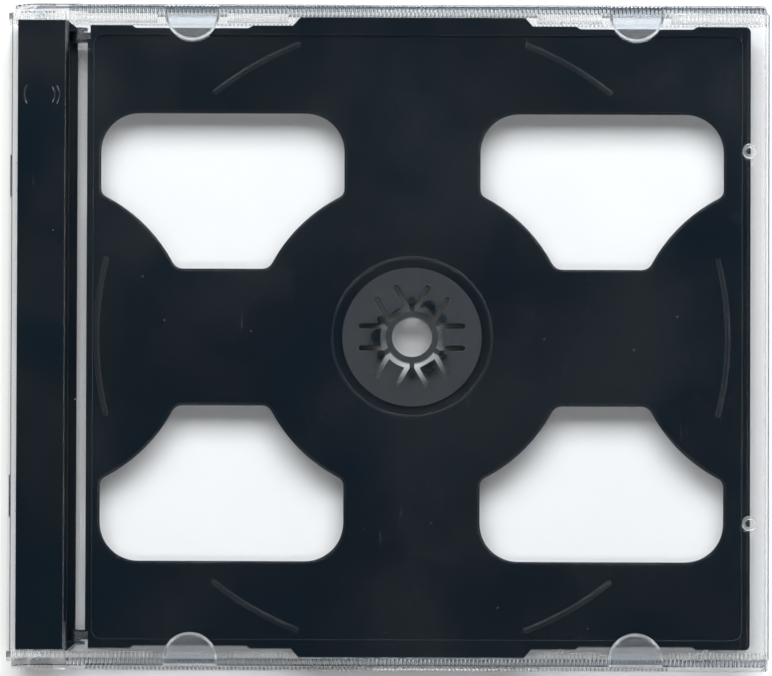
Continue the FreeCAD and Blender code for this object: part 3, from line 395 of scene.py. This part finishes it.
def clear_plastic(name):
    """Refracting plastic with hairlines and smears, which lets light through to what it covers."""
    material, tree, output, place = new_material(name)
    marks = add_node(tree, "ShaderNodeGroup", {"Place": place}, node_tree=marks_group).outputs
    pale = calc(tree, "MULTIPLY", marks["Smear"], SMEAR_SHOWS)
    colour = blend(tree, pale, CLEAR_TINT, CLEAR_SMEARED)
    rough = roughened(tree, marks, CLEAR_ROUGH, CLEAR_ROUGHENED)
    surface = add_node(tree, "ShaderNodeBsdfPrincipled", {"IOR": PLASTIC_IOR, "Transmission Weight": 1.0})
    passing = add_node(tree, "ShaderNodeBsdfTransparent", {"Color": CLEAR_SHADOW}).outputs[0]
    rays = add_node(tree, "ShaderNodeLightPath").outputs
    straight = calc(tree, "MAXIMUM", rays["Is Shadow Ray"], rays["Is Diffuse Ray"])
    mixed = add_node(tree, "ShaderNodeMixShader", {0: straight, 1: surface.outputs[0], 2: passing})
    tree.links.new(mixed.outputs[0], output.inputs["Surface"])
    parts = {"colour": colour, "rough": rough, "place": place, "surface": surface,
             "flow": noise(tree, place, FLOW_SCALE, 1.0)}
    return material, tree, parts


def depth_inside(tree, place, low, high):
    """Distances inside a box seen from above: from the nearest long side, and from the nearest side."""
    axes = add_node(tree, "ShaderNodeSeparateXYZ", {0: place}).outputs
    from_long = calc(tree, "SUBTRACT", high.y, calc(tree, "ABSOLUTE", axes[1]))
    from_short = calc(tree, "MINIMUM", calc(tree, "SUBTRACT", high.x, axes[0]),
                      calc(tree, "SUBTRACT", axes[0], low.x))
    return from_long, calc(tree, "MINIMUM", from_long, from_short), axes


def grey_edges(tree, parts, from_long, from_any):
    """On faces that look up or down, grey the long walls (own tint and painted shade) and paint shade on the outer
    edge.
    """
    normal = add_node(tree, "ShaderNodeTexCoord").outputs["Normal"]
    upright = calc(tree, "ABSOLUTE", add_node(tree, "ShaderNodeSeparateXYZ", {0: normal}).outputs[2])
    lying = ramp(tree, upright, LYING_FROM, LYING_FULL)
    in_wall = ramp(tree, from_long, WALL_DEPTH * WALL_FADE, WALL_DEPTH, 1.0, 0.0)
    in_edge = ramp(tree, from_any, EDGE_DEPTH * EDGE_FADE, EDGE_DEPTH, 1.0, 0.0)
    # Painted shade: the walls' grey, which also holds the plastic's own tint, and the outer edge's near-black
    for depth, grey in ((in_wall, WALL_TINT_AND_SHADE), (in_edge, EDGE_PAINTED_SHADE)):
        parts["colour"] = blend(tree, calc(tree, "MULTIPLY", lying, depth), parts["colour"], grey)


print("clear plastic defined")

# %% [markdown]
# Under the lid stand four half-moon tabs, which hold a booklet, and two short hollow pegs near its opening
# edge. They were left as they came from the mould, dull, so they catch light where the rest of the lid
# lets it through. Dull clear plastic is the same shader with more roughness, given to a round spot about
# each peg and to what stands out from the side walls below the panel.

# %% Finish of the lid
PEG_INSET = 3.1 * MM
PEG_SPACING = 69.8 * MM
PEG_RADIUS = 1.4 * MM
PANEL_THICKNESS, PANEL_SLACK = 1.2 * MM, 0.05 * MM
TAB_REACH = 6.5 * MM
TAB_BLUE = (0.82, 0.88, 0.94, 1.0)
PEG_ROUGH, TAB_ROUGH = 0.6, 0.22
LID_RELIEF = 0.02 * MM

lid_clear, tree, parts = clear_plastic("lid_clear")
from_long, from_any, axes = depth_inside(tree, parts["place"], lid_low, lid_high)
# Painted shade on the lid's long walls and outer edge
grey_edges(tree, parts, from_long, from_any)
off_x = calc(tree, "SUBTRACT", axes[0], lid_high.x - PEG_INSET)
off_y = calc(tree, "SUBTRACT", calc(tree, "ABSOLUTE", axes[1]), PEG_SPACING / 2)
near_peg = calc(tree, "LESS_THAN", diagonal(tree, off_x, off_y), PEG_RADIUS)
under_panel = calc(tree, "LESS_THAN", axes[2], lid_high.z - PANEL_THICKNESS - PANEL_SLACK)
on_peg = calc(tree, "MULTIPLY", near_peg, under_panel)
near_wall = calc(tree, "MULTIPLY", calc(tree, "LESS_THAN", from_long, TAB_REACH),
                 calc(tree, "GREATER_THAN", from_long, WALL_DEPTH))
on_tab = calc(tree, "MULTIPLY", near_wall, under_panel)
parts["colour"] = blend(tree, on_tab, parts["colour"], TAB_BLUE)
for spot, rough in ((on_peg, PEG_ROUGH), (on_tab, TAB_ROUGH)):
    parts["rough"] = calc(tree, "MAXIMUM", parts["rough"], calc(tree, "MULTIPLY", spot, rough))
finish_plastic(tree, parts, parts["flow"], LID_RELIEF)
print("dull pegs at x", round((lid_high.x - PEG_INSET) / MM, 2), "mm")

# %% [markdown]
# The base's side walls carry the same fine upright ribs as the lid's. They stand behind the lid's wall and
# only glimmer through it, so here a wave along the wall, as a bump, does for them. It is kept to the walls
# by their distance from the case's middle plane.

# %% Finish of the base
RIB_PITCH = 0.75 * MM
WALL_INSET, WALL_RISE = 3.2 * MM, 0.2 * MM
SPINE_INSET = 0.55 * MM
FLOOR_TOP = 1.25 * MM
FLOW_SHARE = 0.15
BASE_RELIEF = 0.12 * MM

base_clear, tree, parts = clear_plastic("base_clear")
spine_low = Vector((base_low.x + SPINE_INSET, base_low.y, base_low.z))
from_long, from_any, axes = depth_inside(tree, parts["place"], spine_low, base_high)
above_floor = calc(tree, "GREATER_THAN", axes[2], FLOOR_TOP)
from_edge = calc(tree, "ADD", from_any, calc(tree, "SUBTRACT", 1.0, above_floor))
# Painted shade on the base's long walls and outer edge, as on the lid
grey_edges(tree, parts, from_long, from_edge)
wave = calc(tree, "SINE", calc(tree, "MULTIPLY", axes[0], 2 * math.pi / RIB_PITCH))
wall_start = base_high.y - WALL_INSET
on_wall = ramp(tree, calc(tree, "ABSOLUTE", axes[1]), wall_start, wall_start + WALL_RISE)
ribs = calc(tree, "MULTIPLY", wave, on_wall)
relief = calc(tree, "ADD", calc(tree, "MULTIPLY", parts["flow"], FLOW_SHARE), ribs)
finish_plastic(tree, parts, relief, BASE_RELIEF)
print("rib pitch", RIB_PITCH / MM, "mm")

# %% [markdown]
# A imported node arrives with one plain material. Its mesh stays as it is, and only the slot gets the new
# finish, which is all that a material swap needs.

# %% Put the finishes on
finishes = {"front_lid": lid_clear, "rear_base": base_clear,
            "hinge_strip": strip_black, "swing_tray": tray_black}
for name, material in finishes.items():
    slots = frame["nodes"][name].material_slots
    for slot in slots:
        slot.material = material
    print(name, "has", material.name, "in", len(slots), "slot")

# %% [markdown]
# The case lies on plain white. A lit diffuse floor is better here than a glowing one, because the tray's
# soft shadow, seen through the windows, is what shows that the tray hangs above the base. Away from the
# case, where the lamps no longer reach, the floor goes over into an even white for the eye, for mirrored
# and for refracted rays, so the background has no falling off from any side.

# %% Floor
FLOOR_SIZE = 6.0
FLOOR_DROP = 0.3 * MM
LIT_REACH, WHITE_REACH = 0.10, 0.40
PAPER_DARK, PAPER_PALE = (0.93, 0.93, 0.93, 1.0), (0.95, 0.95, 0.95, 1.0)
PAPER_SCALE = 40.0
WHITE = (1.0, 1.0, 1.0, 1.0)

floor_white, tree, output, place = new_material("floor_white")
tone = blend(tree, noise(tree, place, PAPER_SCALE), PAPER_DARK, PAPER_PALE)
matt = add_node(tree, "ShaderNodeBsdfDiffuse", {"Color": tone}).outputs[0]
white = add_node(tree, "ShaderNodeEmission", {"Color": WHITE, "Strength": 1.0}).outputs[0]
rays = add_node(tree, "ShaderNodeLightPath").outputs
looking = calc(tree, "MAXIMUM", rays["Is Camera Ray"], calc(tree, "MAXIMUM", rays["Is Glossy Ray"],
                                                            rays["Is Transmission Ray"]))
reach = add_node(tree, "ShaderNodeVectorMath", {0: place}, operation="LENGTH").outputs["Value"]
share = calc(tree, "MULTIPLY", ramp(tree, reach, LIT_REACH, WHITE_REACH), looking)
paper_surface = add_node(tree, "ShaderNodeMixShader", {0: share, 1: matt, 2: white}).outputs[0]
tree.links.new(paper_surface, output.inputs["Surface"])

corners = np.array([(-1, -1, 0), (1, -1, 0), (1, 1, 0), (-1, 1, 0)], float) * FLOOR_SIZE / 2
corners[:, 2] = cad_box[0][2] - FLOOR_DROP
floor_mesh = bpy.data.meshes.new("floor")
floor_mesh.from_pydata(corners.tolist(), [], [(0, 1, 2, 3)])
floor_mesh.materials.append(floor_white)
floor = bpy.data.objects.new("floor", floor_mesh)
bpy.context.scene.collection.objects.link(floor)
print("floor", FLOOR_SIZE, "m wide")

# %% [markdown]
# Gloss black looks black only if what it mirrors is dark. The camera looks almost straight down, so a cap
# of sky about the direction that flat faces mirror is left dark. Most light comes from one broad soft panel
# on the far side, which throws the short shadow under each window's far edge. A strip on the near side
# fills that shadow. Along the horizon runs a ring of sky that is two to three times as bright as the rest.
# It adds little light, but every steep edge mirrors a piece of it as a fine line. For the shallow edges two
# strips stand left and right, which matt surfaces don't see: they draw lines and leave the shadows alone.

# %% World and light
TILT = math.radians(6.0)
CAP_INNER, CAP_OUTER = math.radians(16), math.radians(32)
SKY_LEVEL, RING_LEVEL = 0.15, 0.35
CAP_SHARE = 0.03
RING_FULL, RING_END = math.sin(math.radians(21)), math.sin(math.radians(27))
# The ring is dimmer far and near than on the left and right: how far sideways that changes, and its share
RING_SIDE_FROM, RING_SIDE_FULL, RING_DIM_SHARE = 0.35, 0.75, 0.4
PANEL_DISTANCE = 0.9
# Each panel: name, compass turn from the far side, turn down from upright, width, height, watts, and
# whether it lights matt surfaces
PANELS = (("far_panel", 0, 34, 1.10, 0.56, 13.0, True), ("near_strip", 180, 17, 0.60, 0.12, 1.8, True),
          ("left_strip", 90, 42, 0.50, 0.26, 1.3, False), ("right_strip", -90, 42, 0.50, 0.26, 1.3, False))

world = bpy.data.worlds.new("studio")
bpy.context.scene.world = world
world.use_nodes = True
tree = world.node_tree
tree.nodes.clear()
way = add_node(tree, "ShaderNodeTexCoord").outputs["Generated"]
sides, _, up = add_node(tree, "ShaderNodeSeparateXYZ", {0: way}).outputs
mirrored = (0.0, math.sin(TILT), math.cos(TILT))
near_cap = agreement(tree, way, mirrored)
open_sky = ramp(tree, near_cap, math.cos(CAP_OUTER), math.cos(CAP_INNER), 1.0, CAP_SHARE)
sideways = calc(tree, "ABSOLUTE", sides)
ring = calc(tree, "MULTIPLY", ramp(tree, up, RING_FULL, RING_END, RING_LEVEL, 0.0),
            ramp(tree, sideways, RING_SIDE_FROM, RING_SIDE_FULL, RING_DIM_SHARE, 1.0))
level = calc(tree, "MULTIPLY", calc(tree, "ADD", ring, SKY_LEVEL), open_sky)
seen = add_node(tree, "ShaderNodeLightPath").outputs["Is Camera Ray"]
strength = add_node(tree, "ShaderNodeMix", {0: seen, 2: level, 3: 1.0}).outputs[0]
sky = add_node(tree, "ShaderNodeBackground", {"Color": WHITE, "Strength": strength})
add_node(tree, "ShaderNodeOutputWorld", {"Surface": sky.outputs[0]})

for name, compass, lean, width, height, watts, lights_matt in PANELS:
    lamp = bpy.data.lights.new(name, "AREA")
    lamp.shape = "RECTANGLE"
    lamp.size, lamp.size_y, lamp.energy = width, height, watts
    panel = bpy.data.objects.new(name, lamp)
    turned = Matrix.Rotation(math.radians(compass), 4, "Z") @ Matrix.Rotation(math.radians(-lean), 4, "X")
    panel.matrix_world = turned @ Matrix.Translation((0.0, 0.0, PANEL_DISTANCE))
    panel.visible_camera = False
    panel.visible_diffuse = lights_matt
    bpy.context.scene.collection.objects.link(panel)
    print(name, "at", tuple(round(value, 3) for value in panel.matrix_world.translation))
bpy.context.scene.view_settings.view_transform = "Standard"

# %% [markdown]
# The picture is as flat as a scan: edges at every depth keep their size and only slide a little down the
# picture as they go deeper. That slide gives the tilt, and the missing perspective asks for a very long
# lens from far away. The case also lies a fifth of a degree askew, which the camera takes as a roll. The
# middle of the picture is worked out from the scale, in pixels to the millimetre.

# %% Camera
PICTURE_WIDTH, PICTURE_HEIGHT = 772, 676
PIXELS_PER_MM = 5.366
CASE_LEFT_PIXEL, CASE_TOP_PIXEL = 7.4, 4.0
ROLL = math.radians(0.2)
LENS, SENSOR = 1200.0, 36.0
CLIP_END = 50.0

across = (PICTURE_WIDTH / 2 - CASE_LEFT_PIXEL) / PIXELS_PER_MM * MM
down = (PICTURE_HEIGHT / 2 - CASE_TOP_PIXEL) / PIXELS_PER_MM * MM / math.cos(TILT)
target = Vector((cad_box[0][0] + across, cad_box[1][1] - down, cad_box[1][2]))
distance = PICTURE_WIDTH / PIXELS_PER_MM * MM * LENS / SENSOR
camera_data = bpy.data.cameras.new("camera")
camera_data.lens = LENS
camera_data.sensor_width = SENSOR
camera_data.clip_end = CLIP_END
camera = bpy.data.objects.new("camera", camera_data)
camera.location = target + distance * Vector((0.0, -math.sin(TILT), math.cos(TILT)))
camera.rotation_euler = (Matrix.Rotation(TILT, 3, "X") @ Matrix.Rotation(ROLL, 3, "Z")).to_euler()
bpy.context.scene.collection.objects.link(camera)
bpy.context.scene.camera = camera
print("camera", round(distance, 3), "m away, looking at", tuple(round(value / MM, 2) for value in target))
